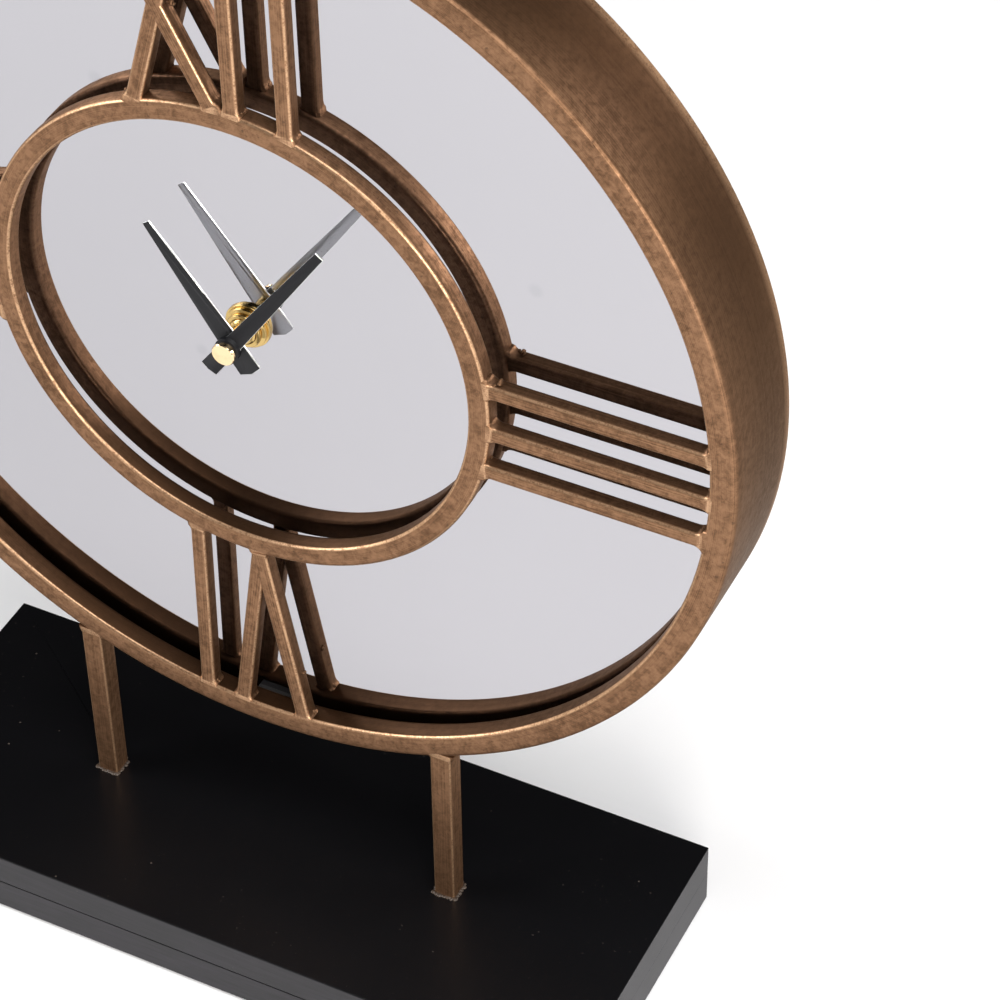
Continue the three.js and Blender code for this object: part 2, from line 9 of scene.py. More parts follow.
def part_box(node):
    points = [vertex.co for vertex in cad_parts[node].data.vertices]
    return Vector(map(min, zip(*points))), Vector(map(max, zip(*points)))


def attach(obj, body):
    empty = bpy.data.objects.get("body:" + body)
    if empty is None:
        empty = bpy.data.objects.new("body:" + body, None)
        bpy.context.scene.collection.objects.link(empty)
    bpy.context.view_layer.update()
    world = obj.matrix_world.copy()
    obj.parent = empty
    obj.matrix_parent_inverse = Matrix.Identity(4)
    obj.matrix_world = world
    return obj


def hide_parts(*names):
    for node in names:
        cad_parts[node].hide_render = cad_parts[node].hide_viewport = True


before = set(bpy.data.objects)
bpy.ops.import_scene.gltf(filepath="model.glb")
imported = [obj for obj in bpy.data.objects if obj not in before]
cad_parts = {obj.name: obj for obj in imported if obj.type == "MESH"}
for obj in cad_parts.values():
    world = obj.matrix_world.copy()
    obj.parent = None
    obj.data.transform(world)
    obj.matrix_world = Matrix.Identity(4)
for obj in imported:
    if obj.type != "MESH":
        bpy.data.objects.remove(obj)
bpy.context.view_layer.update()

# ---------------------------------------------------------------- Studio
# A long lens looks down on the clock from its right. The pale floor runs
# under and behind it, the ceiling is dim, and four soft boxes light the room.
scene = bpy.context.scene
scene.view_settings.view_transform = "Standard"

camera_data = bpy.data.cameras.new("camera")
camera_data.lens = 125.4
camera_data.sensor_width = 36
camera_data.clip_end = 20
camera = bpy.data.objects.new("camera", camera_data)
camera.location = (0.3965, -0.6216, 0.8358)
camera.rotation_euler = [math.radians(a) for a in (47.376, 0.642, 26.428)]
scene.collection.objects.link(camera)
scene.camera = camera

world = bpy.data.worlds.new("studio")
world.use_nodes = True
room = world.node_tree
heading = room.nodes.new("ShaderNodeTexCoord")
height = room.nodes.new("ShaderNodeSeparateXYZ")
fall_off = room.nodes.new("ShaderNodeMapRange")
fall_off.interpolation_type = "SMOOTHSTEP"
for label, value in (("From Min", 0.05), ("From Max", 0.55), ("To Min", 0.45), ("To Max", 0.03)):
    fall_off.inputs[label].default_value = value
room.links.new(heading.outputs["Generated"], height.inputs[0])
room.links.new(height.outputs["Z"], fall_off.inputs["Value"])
room.links.new(fall_off.outputs[0], room.nodes["Background"].inputs["Strength"])
scene.world = world


def soft_box(name, place, aim, size, power, tint=(1, 1, 1)):
    data = bpy.data.lights.new(name, "AREA")
    data.shape = "RECTANGLE"
    data.size, data.size_y = size
    data.energy = power
    data.color = tint
    lamp = bpy.data.objects.new(name, data)
    lamp.location = place
    lamp.rotation_euler = (Vector(aim) - Vector(place)).to_track_quat("-Z", "Y").to_euler()
    scene.collection.objects.link(lamp)


soft_box("box_above", (0.9, -0.5, 2.3), (0.1, -0.1, 0), (1.9, 1.9), 57)
soft_box("box_front_right", (1.05, -1.30, 0.50), (0, 0, 0.2), (0.75, 0.6), 25, (1.0, 0.96, 0.91))
soft_box("box_right_behind", (1.75, 1.45, 1.15), (0.15, 0.1, 0.1), (1.5, 1.2), 22)
soft_box("box_left", (-1.8, -0.9, 0.9), (-0.5, -0.1, 0), (1.3, 1.0), 38)

floor_bm = bmesh.new()
bmesh.ops.create_grid(floor_bm, x_segments=1, y_segments=1, size=8)
floor_mesh = bpy.data.meshes.new("floor")
floor_bm.to_mesh(floor_mesh)
floor_bm.free()
floor_piece = bpy.data.objects.new("floor", floor_mesh)
scene.collection.objects.link(floor_piece)
floor_paint = bpy.data.materials.new("floor_paper")
floor_paint.use_nodes = True
floor_paint.node_tree.nodes["Principled BSDF"].inputs["Base Color"].default_value = (0.93, 0.93, 0.94, 1)
floor_paint.node_tree.nodes["Principled BSDF"].inputs["Roughness"].default_value = 0.9
floor_mesh.materials.append(floor_paint)


# ---------------------------------------------------------------- Drum band and outer ring
# The drum is a strip of sheet rolled into a hoop, with a ring of square bar
# welded inside its front edge and ground flush. Both are plated, browned and
# waxed, then rubbed back so the edges and the front show the bright metal. The
# edge tint is also a painted highlight, and the ring walls get painted shade
# towards the bottom.
MM = 0.001
DIAL_HEIGHT = 223
DIAL = Vector((0, 0, DIAL_HEIGHT * MM))
FRONT, BACK, DRUM_BACK = -3.5, 3.5, 31.5
RIM, RIM_INSIDE = 150, 142


class Wire:
    """A socket of a finish; arithmetic on it adds Math nodes."""

    def __init__(self, tree, socket):
        self.tree = tree
        self.socket = socket

    def math(self, operation, first, second=0.0):
        node = self.tree.nodes.new("ShaderNodeMath")
        node.operation = operation
        for slot, value in zip(node.inputs, (first, second)):
            if isinstance(value, Wire):
                self.tree.links.new(value.socket, slot)
            else:
                slot.default_value = value
        return Wire(self.tree, node.outputs[0])

    def __add__(self, other):
        return self.math("ADD", self, other)

    def __radd__(self, other):
        return self.math("ADD", other, self)

    def __sub__(self, other):
        return self.math("SUBTRACT", self, other)

    def __rsub__(self, other):
        return self.math("SUBTRACT", other, self)

    def __mul__(self, other):
        return self.math("MULTIPLY", self, other)

    def __rmul__(self, other):
        return self.math("MULTIPLY", other, self)

    def __gt__(self, other):
        return self.math("GREATER_THAN", self, other)

    def held(self):
        node = self.tree.nodes.new("ShaderNodeClamp")
        self.tree.links.new(self.socket, node.inputs[0])
        return Wire(self.tree, node.outputs[0])


class Finish:
    """A surface finish: a Principled shader and the nodes that feed it."""

    def __init__(self, name, **fixed):
        self.material = bpy.data.materials.new(name)
        self.material.use_nodes = True
        self.tree = self.material.node_tree
        self.shader = self.tree.nodes["Principled BSDF"]
        self.place = self.node("ShaderNodeTexCoord", output="Object")
        for label, value in fixed.items():
            self.shader.inputs[label.replace("_", " ")].default_value = value

    def node(self, kind, settings=None, inputs=None, output=0):
        node = self.tree.nodes.new(kind)
        for label, value in (settings or {}).items():
            if label == "stops":
                self.stops(node.color_ramp, value)
            else:
                setattr(node, label, value)
        for label, value in (inputs or {}).items():
            if isinstance(value, Wire):
                self.tree.links.new(value.socket, node.inputs[label])
            else:
                node.inputs[label].default_value = value
        return Wire(self.tree, node.outputs[output])

    def stops(self, ramp, stops):
        for place, level in stops[2:]:
            ramp.elements.new(place)
        for element, (place, level) in zip(ramp.elements, stops):
            element.position = place
            element.color = (level, level, level, 1)

    def noise(self, scale, detail=3.0, roughness=0.55, vector=None, distortion=0.0):
        inputs = {"Vector": vector or self.place, "Scale": scale, "Detail": detail,
                  "Roughness": roughness, "Distortion": distortion}
        return self.node("ShaderNodeTexNoise", inputs=inputs)

    def stretched(self, source, scale):
        return self.node("ShaderNodeMapping", inputs={"Vector": source, "Scale": scale})

    def band(self, value, low, high):
        return self.node("ShaderNodeMapRange", {"interpolation_type": "SMOOTHSTEP"},
                         {"Value": value, "From Min": low, "From Max": high})

    def tint(self, factor, first, second, way="MIX"):
        settings = {"data_type": "RGBA", "blend_type": way}
        return self.node("ShaderNodeMix", settings, {0: factor, 6: first, 7: second}, 2)

    def feed(self, label, wire):
        self.tree.links.new(wire.socket, self.shader.inputs[label])

    def bump(self, height, depth, strength=1.0):
        inputs = {"Height": height, "Distance": depth, "Strength": strength}
        self.feed("Normal", self.node("ShaderNodeBump", inputs=inputs))


def bronze_finish():
    finish = Finish("rubbed_bronze", Metallic=0.84, Specular_Tint=(0.74, 0.62, 0.53, 1))
    brush = finish.node("ShaderNodeUVMap", {"uv_map": "brush"})
    # Edge mask: real wear on the front corners plus a painted highlight.
    worn = finish.node("ShaderNodeAttribute", {"attribute_name": "worn"}, output="Fac")
    # Rubbing mask: rubbed-back metal, with painted shade on the lower ring walls.
    rubbed = finish.node("ShaderNodeAttribute", {"attribute_name": "rubbed"}, output="Fac")
    cloud = finish.noise(22, 4, 0.55)
    mottle = finish.noise(430, 6, 0.72, distortion=0.4)
    grain = finish.noise(1700, 3, 0.6)
    lines = finish.noise(1, 3, 0.7, vector=finish.stretched(brush, (30, 2300, 1)))
    patina = finish.band(mottle * 0.44 + cloud * 0.18 + lines * 0.38, 0.40, 0.62)
    face = finish.tint(patina, (0.280, 0.153, 0.084, 1), (0.105, 0.053, 0.027, 1))
    wall = finish.tint(cloud, (0.070, 0.033, 0.014, 1), (0.046, 0.021, 0.010, 1))
    wall = finish.tint(patina * 0.35, wall, (0.036, 0.019, 0.010, 1))
    base = finish.tint((rubbed + (cloud - 0.5) * 0.35).held(), wall, face)
    pits = finish.band(finish.noise(560, 2, 0.5), 0.67, 0.73) * rubbed
    base = finish.tint(pits * 0.5, base, (0.055, 0.032, 0.021, 1))
    edge = (worn * finish.band(mottle * 0.6 + grain * 0.4, 0.36, 0.56)).held()
    # Painted highlight: the edges are tinted bright copper, partly wear and partly painted highlight.
    base = finish.tint(edge * 0.7, base, (0.66, 0.41, 0.24, 1))
    scratch = finish.noise(1, 2, 0.5, vector=finish.stretched(brush, (7, 800, 1)))
    hairline = finish.band(scratch, 0.68, 0.73) * finish.band(cloud, 0.48, 0.6)
    base = finish.tint(hairline * 0.3, base, (0.42, 0.26, 0.16, 1))
    finish.feed("Base Color", base)
    finish.feed("Roughness", (0.32 + patina * 0.12 + grain * 0.1 + lines * 0.06 - edge * 0.14).held())
    finish.bump(mottle * 0.6 + lines * 0.2 + grain * 0.25 - pits * 0.5, 0.00012, 0.45)
    return finish.material


bronze = bronze_finish()


def brush_along(bm, along, across):
    layer = bm.loops.layers.uv.new("brush")
    for face in bm.faces:
        for loop in face.loops:
            loop[layer].uv = (along(loop.vert.co), across(loop.vert.co))


def mark(bm, label, level):
    layer = bm.verts.layers.float.new(label)
    for vert in bm.verts:
        vert[layer] = level(vert.co)


def near_corner(u, v, u_span, v_span, reach):
    du = min(abs(u - edge) for edge in u_span)
    dv = min(abs(v - edge) for edge in v_span)
    return 1.0 if max(du, dv) < reach else 0.0


def place_piece(bm, name, nodes, material, body="clock_body", smooth=35):
    mesh = bpy.data.meshes.new(name)
    bm.normal_update()
    bm.to_mesh(mesh)
    bm.free()
    mesh.materials.append(material)
    mesh.shade_smooth()
    mesh.set_sharp_from_angle(angle=math.radians(smooth))
    piece = bpy.data.objects.new(name, mesh)
    scene.collection.objects.link(piece)
    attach(piece, body)
    if nodes:
        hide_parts(*nodes)
    return piece


def slice_at(bm, point, normal, clear_outer=False):
    geom = list(bm.verts) + list(bm.edges) + list(bm.faces)
    bmesh.ops.bisect_plane(bm, geom=geom, plane_co=point, plane_no=normal, clear_outer=clear_outer)


def spun(outline, steps, segments=5, keep=None):
    """Spin a profile of (radius, y, corner rounding) in millimetres about the dial's axis."""
    bm = bmesh.new()
    corners = [bm.verts.new((r * MM, y * MM, 0)) for r, y, _ in outline]
    bm.faces.new(corners)
    for corner, (_, _, rounding) in zip(corners, outline):
        if rounding:
            bmesh.ops.bevel(bm, geom=[corner], offset=rounding * MM, offset_type="OFFSET",
                            affect="VERTICES", segments=segments, profile=0.5, material=-1)
    if keep:
        radius, side = keep
        slice_at(bm, (radius * MM, 0, 0), (-side, 0, 0), clear_outer=True)
    bmesh.ops.delete(bm, geom=list(bm.faces), context="FACES_ONLY")
    bmesh.ops.spin(bm, geom=list(bm.edges), cent=(0, 0, 0), axis=(0, 1, 0), angle=math.tau,
                   steps=steps, use_merge=True)
    bmesh.ops.remove_doubles(bm, verts=bm.verts, dist=1e-7)
    bmesh.ops.recalc_face_normals(bm, faces=bm.faces)
    bmesh.ops.translate(bm, verts=bm.verts, vec=DIAL)
    return bm


def polar(co):
    offset = co - DIAL
    return math.hypot(offset.x, offset.z) / MM, offset.y / MM


EDGE_ROUND, DRUM_ROUND = 1.25, 1.8
SEAM = RIM - 1


def round_brushing(bm):
    brush_along(bm, lambda co: 0.0, lambda co: (polar(co)[0] + polar(co)[1] * 0.7) * MM)


def ring_rubbing_and_shade(co):
    """Bright in front; on the walls darker and darker towards the bottom, a painted shade."""
    radius, y = polar(co)
    if y < FRONT + 0.9:
        return 1.0
    height = (co.z - DIAL.z) / MM / radius
    # Painted shade: the wall colour darkens towards the ring's bottom.
    return 0.04 + 0.96 * min(1.0, max(0.0, 1.25 + 1.4 * height))


def outer_ring_piece():
    outline = [(RIM_INSIDE, FRONT, EDGE_ROUND), (RIM, FRONT, DRUM_ROUND), (RIM, BACK, 0),
               (RIM_INSIDE, BACK, EDGE_ROUND)]
    bm = spun(outline, 240, 6, keep=(SEAM + 0.03, -1))
    round_brushing(bm)
    # Front inner corner: wear, tinted bright as a painted highlight.
    mark(bm, "worn", lambda co: near_corner(*polar(co), (RIM_INSIDE,), (FRONT,), EDGE_ROUND * 0.55))
    mark(bm, "rubbed", ring_rubbing_and_shade)
    return place_piece(bm, "outer_ring_bar", ["outer_ring"], bronze)


def drum_band_piece():
    outline = [(RIM - 3, FRONT, 0), (RIM, FRONT, DRUM_ROUND), (RIM, DRUM_BACK, 0.3), (RIM - 3, DRUM_BACK, 0)]
    bm = spun(outline, 240, 6, keep=(SEAM, 1))
    for depth in (2, 9, 16, 23, 28):
        slice_at(bm, (0, depth * MM, 0), (0, 1, 0))
    round_brushing(bm)
    levels = ((FRONT, 1.0), (-2.6, 0.8), (-1.5, 0.34), (2, 0.30), (9, 0.16), (16, 0.05), (23, 0.04),
              (28, 0.12), (DRUM_BACK, 0.4))

    def rubbing(co):
        y = polar(co)[1]
        for (low, first), (high, last) in zip(levels, levels[1:]):
            if y <= high:
                return first + (last - first) * max(0, y - low) / (high - low)
        return levels[-1][1]

    # Back rim: wear, tinted bright as a painted highlight.
    mark(bm, "worn", lambda co: 0.5 if polar(co)[1] > DRUM_BACK - 0.3 else 0.0)
    mark(bm, "rubbed", rubbing)
    return place_piece(bm, "drum_band_sheet", ["drum_band"], bronze)


outer_ring_piece()
drum_band_piece()


# ---------------------------------------------------------------- Inner ring
# A second ring of slightly shallower bar, bent to half the size and held in
# the middle of the grille by the numerals welded to it.
def inner_ring_piece():
    span = (71.7, 78.3)
    back = FRONT + 6
    bm = spun([(span[0], FRONT, EDGE_ROUND), (span[1], FRONT, EDGE_ROUND), (span[1], back, EDGE_ROUND),
               (span[0], back, EDGE_ROUND)], 200, 6)
    round_brushing(bm)
    # Front corners: wear, tinted bright as a painted highlight.
    mark(bm, "worn", lambda co: near_corner(*polar(co), span, (FRONT,), EDGE_ROUND * 0.55))
    mark(bm, "rubbed", ring_rubbing_and_shade)
    return place_piece(bm, "inner_ring_bar", ["inner_ring"], bronze)


inner_ring_piece()

# ---------------------------------------------------------------- Numeral bars
# Each stroke of a numeral is a short length of square bar, cut to reach both
# rings, welded at its ends and ground flush, so its ends flare into the rings.
BAR_WIDTH, BAR_BACK = 4.8, FRONT + 5
RINGS = (78.3, RIM_INSIDE)
STROKES = {
    "xii_bar_1": ((4.6, 78), (4.6, 142)),
    "xii_bar_2": ((20.5, 75), (20.5, 140)),
    "iii_bar_1": ((78, 11.1), (142, 11.1)),
    "iii_bar_2": ((78, -3.7), (142, -3.7)),
    "iii_bar_3": ((78, -17.5), (142, -17.5)),
    "vi_bar": ((-17.6, -76), (-19, -141)),
    "vi_v_long_bar": ((2.7, -78), (13.8, -142)),
    "vi_v_short_bar": ((2.7, -78), (-6.9, -142)),
    "ix_bar": ((-77, -16), (-141, -17.5)),
    "xii_cross_through_bar": ((-1.6, 78), (-33.6, 142)),
    "ix_cross_through_bar": ((-78, -1), (-140, 26)),
}
HALF_STROKES = {
    "xii_cross_half_bar_a": ((-23.9, 78), (-5.7, 142)),
    "xii_cross_half_bar_b": ((-23.9, 78), (-5.7, 142)),
    "ix_cross_half_bar_a": ((-75, 21.5), (-142, 1)),
    "ix_cross_half_bar_b": ((-75, 21.5), (-142, 1)),
}


def reach(start, way, radius):
    b = start.dot(way)
    return start + way * (-b + math.sqrt(b * b - start.length_squared + radius * radius))


def bar_blank(start, end, width, front, back, rounding=1.15):
    """A rounded bar between two dial points, its length on local X."""
    length = (end - start).length
    bm = bmesh.new()
    bmesh.ops.create_cube(bm, size=1)
    bmesh.ops.scale(bm, vec=(length * MM, (back - front) * MM, width * MM), verts=bm.verts)
    long_edges = [e for e in bm.edges if abs((e.verts[0].co - e.verts[1].co).x) > 1e-4]
    bmesh.ops.bevel(bm, geom=long_edges, offset=rounding * MM, affect="EDGES", segments=5,
                    profile=0.5, material=-1)
    bmesh.ops.translate(bm, verts=bm.verts, vec=(length / 2 * MM, (front + back) / 2 * MM, 0))
    return bm, length


def flare_end(bm, at, side, spread, run):
    """Widen the bar into its weld from local x = at (side -1 for its start)."""
    for part in (1.0, 0.8, 0.6, 0.42, 0.27, 0.14, 0.05):
        slice_at(bm, ((at - side * run * part) * MM, 0, 0), (1, 0, 0))
    for vert in bm.verts:
        past = (vert.co.x / MM - at) * side
        depth = min(1.0, 1 + past / run)
        if depth > 0:
            fillet = 1 - math.sqrt(max(0.0, 1 - depth * depth))
            reach_out = spread[0] if vert.co.z > 0 else spread[1]
            vert.co.z += math.copysign(reach_out * fillet, vert.co.z) * MM


def finish_bar(bm, name, node, start, end, width, front, rounding=1.15, wall=0.6):
    half = width / 2
    # Front corners: wear, tinted bright as a painted highlight.
    mark(bm, "worn", lambda co: near_corner(co.y / MM, abs(co.z) / MM, (front,), (half,), rounding * 0.55)
         if abs(co.z) / MM < half + 0.1 else 0.0)
    mark(bm, "rubbed", lambda co: 1.0 if co.y / MM < front + rounding * 0.7 else wall)
    brush_along(bm, lambda co: co.x + start.x * MM, lambda co: co.z + co.y * 0.7)
    way = (end - start).normalized()
    turn = Matrix(((way.x, 0, -way.y), (0, 1, 0), (way.y, 0, way.x))).to_4x4()
    bmesh.ops.transform(bm, matrix=turn, verts=bm.verts)
    bmesh.ops.translate(bm, verts=bm.verts, vec=DIAL + Vector((start.x, 0, start.y)) * MM)
    return place_piece(bm, name, [node], bronze)


def stroke(node, first, last, proud, clip=None):
    first, last = Vector(first), Vector(last)
    way = (last - first).normalized()
    run_in = 2.2 if proud < 0 else 0.3
    start = reach(first, way, RINGS[0]) - way * run_in
    end = reach(first, way, RINGS[1]) + way * run_in
    bm, length = bar_blank(start, end, BAR_WIDTH, FRONT - proud, BAR_BACK - 0.05)
    rng = random.Random(node)
    for at, side in ((run_in, -1), (length - run_in, 1)):
        spread = (rng.uniform(0.9, 2.0), rng.uniform(0.9, 2.0))
        if node == "iii_bar_3" and side > 0:
            spread = (2.4, 2.9)
        flare_end(bm, at, side, spread, max(2.4, *spread))
    if clip:
        near, far = clip
        cut_a = (near - start).dot(way) if near else -1
        cut_b = (far - start).dot(way) if far else length + 1
        for at, keep in ((cut_a, 1), (cut_b, -1)):
            if 0 < at < length:
                slice_at(bm, (at * MM, 0, 0), (-keep, 0, 0), clear_outer=True)
                bmesh.ops.holes_fill(bm, edges=[e for e in bm.edges if e.is_boundary])
    return finish_bar(bm, node + "_stroke", node, start, end, BAR_WIDTH, FRONT - proud)


for order, (node, (first, last)) in enumerate(STROKES.items()):
    stroke(node, first, last, 0.12 if node == "vi_v_long_bar" else -0.02 - 0.005 * (order % 3))


def crossing(first, last, other_first, other_last):
    a, b = Vector(first), Vector(last) - Vector(first)
    c, d = Vector(other_first), Vector(other_last) - Vector(other_first)
    t = ((c.x - a.x) * d.y - (c.y - a.y) * d.x) / (b.x * d.y - b.y * d.x)
    return a + b * t


for node, (first, last) in HALF_STROKES.items():
    numeral = node.split("_")[0]
    meet = crossing(first, last, *STROKES[numeral + "_cross_through_bar"])
    box_low, box_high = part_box(node)
    middle = Vector(((box_low[0] + box_high[0]) / 2, (box_low[2] + box_high[2]) / 2 - DIAL.z)) / MM
    outer_half = middle.length > meet.length
    stroke(node, first, last, -0.04, (meet, None) if outer_half else (None, meet))


# ---------------------------------------------------------------- Weld beads
# Small beads left by the welder in the corners where a stroke meets a ring or
# another stroke. They were wire-brushed and plated with the rest.
def bead_heap(name, spots, seed):
    rng = random.Random(seed)
    bm = bmesh.new()
    for x, y, z, size in spots:
        for _ in range(4):
            radius = size * rng.uniform(0.45, 0.75) * MM
            lump = bmesh.ops.create_icosphere(bm, subdivisions=3, radius=radius)["verts"]
            bmesh.ops.scale(bm, vec=[rng.uniform(0.7, 1.3) for _ in range(3)], verts=lump)
            nudge = Vector([rng.uniform(-0.5, 0.5) * size for _ in range(3)])
            bmesh.ops.translate(bm, verts=lump, vec=DIAL + (Vector((x, y, z)) + nudge) * MM)
    brush_along(bm, lambda co: co.x, lambda co: co.z)
    mark(bm, "worn", lambda co: 0.1)
    mark(bm, "rubbed", lambda co: 0.5)
    return place_piece(bm, name, None, bronze, smooth=180)


def weld_spots():
    rng = random.Random(4)
    spots = []
    for first, last in list(STROKES.values()) + list(HALF_STROKES.values()):
        first, last = Vector(first), Vector(last)
        way = (last - first).normalized()
        across = Vector((-way.y, way.x))
        for radius, inward in ((RINGS[0], 1), (RINGS[1], -1)):
            at = reach(first, way, radius)
            for side in (-1, 1):
                if rng.random() < 0.62:
                    corner = at + across * side * (BAR_WIDTH / 2 + 0.25) + way * inward * 0.4
                    spots.append((corner.x, rng.uniform(-1.6, 0.6), corner.y, rng.uniform(0.6, 1.0)))
    for numeral in ("xii", "ix"):
        through = STROKES[numeral + "_cross_through_bar"]
        meet = crossing(*HALF_STROKES[numeral + "_cross_half_bar_a"], *through)
        for dx, dz in ((0, -3.6), (0, 3.6), (-4.2, 0), (4.2, 0)):
            spots.append((meet.x + dx * 0.9, rng.uniform(-1.5, 0.5), meet.y + dz * 0.9, 1.0))
    by_first_three = [(80.6, -1.4, 14.4, 1.2), (79.6, -2.2, 13.6, 0.8)]
    spatter = [(13.0, -0.5, -125, 1.0), (-12.6, -2.4, 96.0, 0.8)]
    return spots + by_first_three + spatter


bead_heap("weld_beads", weld_spots(), 11)

# ---------------------------------------------------------------- Legs
# Two lengths of the ring's square bar stand under the drum, their front faces
# in line with the grille. They are welded on top and glued into the base.
LEG_X, LEG_WIDTH, BASE_TOP = 60, 7, 24


def leg_piece(node, x):
    foot = Vector((x, BASE_TOP + 0.02 - DIAL_HEIGHT))
    top = Vector((x, -math.sqrt(RIM ** 2 - x ** 2) + 1.5))
    bm, length = bar_blank(foot, top, LEG_WIDTH, FRONT + 0.03, BACK, 0.95)
    flare_end(bm, length - 1.6, 1, (0.9, 0.9), 2.0)
    return finish_bar(bm, node + "_bar", node, foot, top, LEG_WIDTH, FRONT + 0.03, 0.95, 1.0)


def leg_weld_spots():
    spots = []
    for x in (-LEG_X, LEG_X):
        for edge in (-1, 1):
            u = x + edge * (LEG_WIDTH / 2 + 0.3)
            spots += [(u, y, -math.sqrt((RIM + 0.3) ** 2 - u ** 2), 0.9) for y in (-1.6, 0.8, 2.6)]
    return spots


leg_piece("leg_left", -LEG_X)
leg_piece("leg_right", LEG_X)
bead_heap("leg_weld_beads", leg_weld_spots(), 5)


def glue_finish():
    finish = Finish("dried_glue", Metallic=0.0, Coat_Weight=0.15)
    patch = finish.noise(420, 4)
    finish.feed("Base Color", finish.tint(patch, (0.016, 0.010, 0.007, 1), (0.085, 0.055, 0.036, 1)))
    finish.feed("Roughness", 0.4 + patch * 0.3)
    finish.bump(finish.noise(900, 3), 0.0002, 0.6)
    return finish.material


def foot_glue():
    rng = random.Random(8)
    bm = bmesh.new()
    for x in (-LEG_X, LEG_X):
        for _ in range(80):
            turn = rng.uniform(0, math.tau)
            across, along = math.cos(turn), math.sin(turn)
            reach_out = LEG_WIDTH / 2 / max(abs(across), abs(along)) + rng.uniform(-0.3, 0.35)
            size = rng.uniform(0.3, 0.8)
            lump = bmesh.ops.create_icosphere(bm, subdivisions=2, radius=size * MM)["verts"]
            bmesh.ops.scale(bm, vec=(rng.uniform(0.8, 1.5), rng.uniform(0.8, 1.5), 0.6), verts=lump)
            spot = Vector((x + across * reach_out, along * reach_out, BASE_TOP + size * 0.1))
            bmesh.ops.translate(bm, verts=lump, vec=spot * MM)
    return place_piece(bm, "foot_glue", None, glue_finish(), smooth=180)


foot_glue()


# ---------------------------------------------------------------- Base
# Two boards of dense fibreboard glued face to face and sprayed black. The
# joint shows as a fine line round the edge, and dust sits in the lacquer.
def lacquer_finish(name, side_sheen_level):
    finish = Finish(name, Metallic=0.0, IOR=1.41)
    facing = finish.node("ShaderNodeNewGeometry", output="True Normal")
    up = finish.node("ShaderNodeSeparateXYZ", inputs={"Vector": facing}, output="Z")
    side = 1 - finish.band(up, 0.3, 0.7)
    fibres = finish.noise(1, 4, 0.6, vector=finish.stretched(finish.place, (70, 70, 900)))
    cloud = finish.noise(9, 4, 0.6)
    specks = finish.noise(1150, 1, 0.4)
    dust = finish.band(specks, 0.765, 0.80) * finish.band(cloud, 0.40, 0.62)
    crumbs = finish.node("ShaderNodeTexVoronoi", {"feature": "F1"}, {"Vector": finish.place, "Scale": 170})
    crumb = (1 - finish.band(crumbs, 0.035, 0.075)) * finish.band(finish.noise(60, 1), 0.52, 0.60)
    body = finish.tint(cloud, (0.0028, 0.0028, 0.0034, 1), (0.0050, 0.0048, 0.0056, 1))
    grain = finish.band(fibres, 0.25, 0.8)
    # Painted sheen: the side faces are tinted lighter than the top, broken by the fibre grain.
    body = finish.tint(side * side_sheen_level * grain, body, (0.015, 0.012, 0.017, 1))
    body = finish.tint((dust * 0.22 + crumb * 0.5).held(), body, (0.16, 0.13, 0.11, 1))
    finish.feed("Base Color", body)
    finish.feed("Roughness", (0.25 + cloud * 0.08 + side * 0.12 + dust * 0.3).held())
    finish.bump(fibres * side * 0.9 + finish.noise(140, 3) * 0.2 + crumb * 0.8, 0.00010, 0.35)
    return finish.material


def refined(node, width, material, body="clock_body", segments=2, angle=30):
    """The part's own solid with its sharp edges eased."""
    source = bpy.data.objects[node] if node in bpy.data.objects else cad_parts[node]
    bm = bmesh.new()
    bm.from_mesh(source.data)
    bmesh.ops.remove_doubles(bm, verts=bm.verts, dist=2e-6)
    piece = place_piece(bm, node + "_fine", [node], material, body, smooth=40)
    ease = piece.modifiers.new("eased edges", "BEVEL")
    ease.width = width * MM
    ease.segments = segments
    ease.limit_method = "ANGLE"
    ease.angle_limit = math.radians(angle)
    ease.harden_normals = False
    return piece


# The lower board's sides get a stronger painted sheen than the top board's.
lacquer_above = lacquer_finish("black_lacquer_top", 0.75)
lacquer_below = lacquer_finish("black_lacquer_lower", 1.0)
refined("base_top_board", 0.45, lacquer_above, segments=3)
refined("base_bottom_board", 0.35, lacquer_below, segments=3)


def felt_finish():
    finish = Finish("grey_felt", Metallic=0.0, Roughness=0.95, Sheen_Weight=0.3)
    hairs = finish.noise(2400, 5, 0.7)
    finish.feed("Base Color", finish.tint(hairs, (0.012, 0.012, 0.013, 1), (0.07, 0.07, 0.075, 1)))
    finish.bump(hairs, 0.0003, 0.8)
    return finish.material


felt = felt_finish()
for number in range(1, 5):
    refined(f"felt_pad_{number}", 0.15, felt)


def steel_finish():
    finish = Finish("zinc_plate", Metallic=1.0)
    spangle = finish.noise(300, 3)
    fine = finish.noise(1, 3, vector=finish.stretched(finish.place, (300, 3000, 300)))
    finish.feed("Base Color", finish.tint(spangle, (0.42, 0.43, 0.45, 1), (0.66, 0.67, 0.68, 1)))
    finish.feed("Roughness", 0.26 + spangle * 0.2)
    finish.bump(fine, 0.00005, 0.4)
    return finish.material


steel = steel_finish()
for side in ("left", "right"):
    refined(f"leg_screw_{side}", 0.2, steel)


# ---------------------------------------------------------------- Mirror and backing
# A disc of silvered glass behind the grille, on a hardboard disc. Three folded
# clips inside the drum press both towards soft spacers behind the outer ring.
GLASS_FRONT, GLASS_BACK, BOARD_BACK = 5.5, 8.5, 11.5
GLASS_RADIUS, SHAFT_HOLE = 147.5, 4.3


